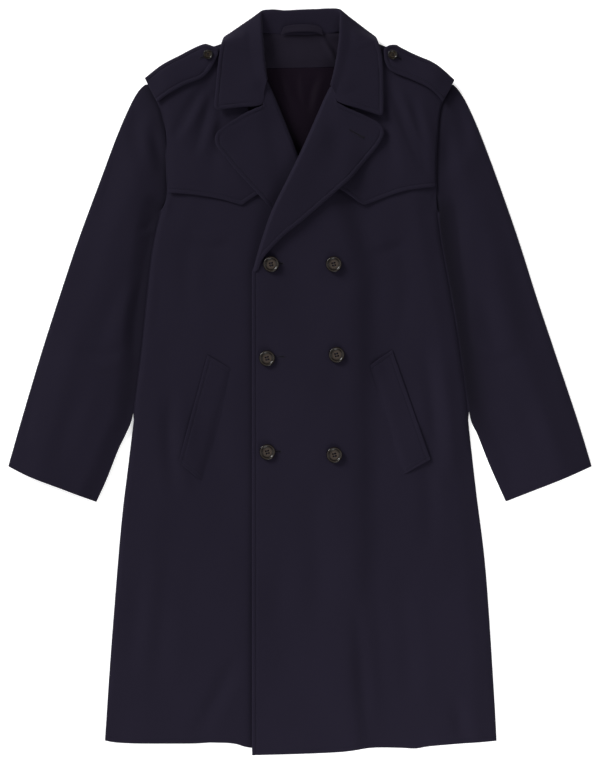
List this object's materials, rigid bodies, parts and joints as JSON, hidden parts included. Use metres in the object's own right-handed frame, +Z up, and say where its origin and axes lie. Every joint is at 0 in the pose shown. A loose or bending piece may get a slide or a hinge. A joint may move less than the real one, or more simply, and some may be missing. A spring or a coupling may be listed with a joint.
{
  "type": "trench coat",
  "caption": "Double-breasted navy trench coat laid flat on its back, with notched lapels, storm flaps, epaulettes, welt pockets and dark horn buttons.",
  "frame": {"origin": "middle of the outline's box, on the surface that the coat lies on", "axes": "+Y from hem to collar, +X to the viewer's right (the wearer's left), +Z up out of the front of the coat"},
  "size_m": [0.9341, 1.1907, 0.0251],
  "materials": {
    "coat_cloth": "dark navy cotton and wool gabardine, fine twill, matt with a faint sheen",
    "facing_cloth": "the same gabardine on the inside of the neck, a little darker",
    "lining": "near-black satin twill lining",
    "horn": "polished dark horn-effect button"
  },
  "bodies": {
    "root": {"back": "coat_cloth", "collar": "coat_cloth", "front_right": "coat_cloth", "front_left": "coat_cloth", "lapel_right": "coat_cloth", "lapel_left": "coat_cloth", "storm_flap_right": "coat_cloth", "storm_flap_left": "coat_cloth", "sleeve_top_right": "coat_cloth", "sleeve_top_left": "coat_cloth", "sleeve_under_right": "coat_cloth", "sleeve_under_left": "coat_cloth", "epaulette_right": "coat_cloth", "epaulette_left": "coat_cloth", "pocket_welt_right": "coat_cloth", "pocket_welt_left": "coat_cloth", "neck_facing": "facing_cloth", "hanger_loop": "facing_cloth", "back_lining": "lining", "epaulette_button_right": "horn", "epaulette_button_left": "horn", "front_button_1": "horn", "front_button_2": "horn", "front_button_3": "horn", "front_button_4": "horn", "front_button_5": "horn", "front_button_6": "horn"}
  },
  "joints": []
}
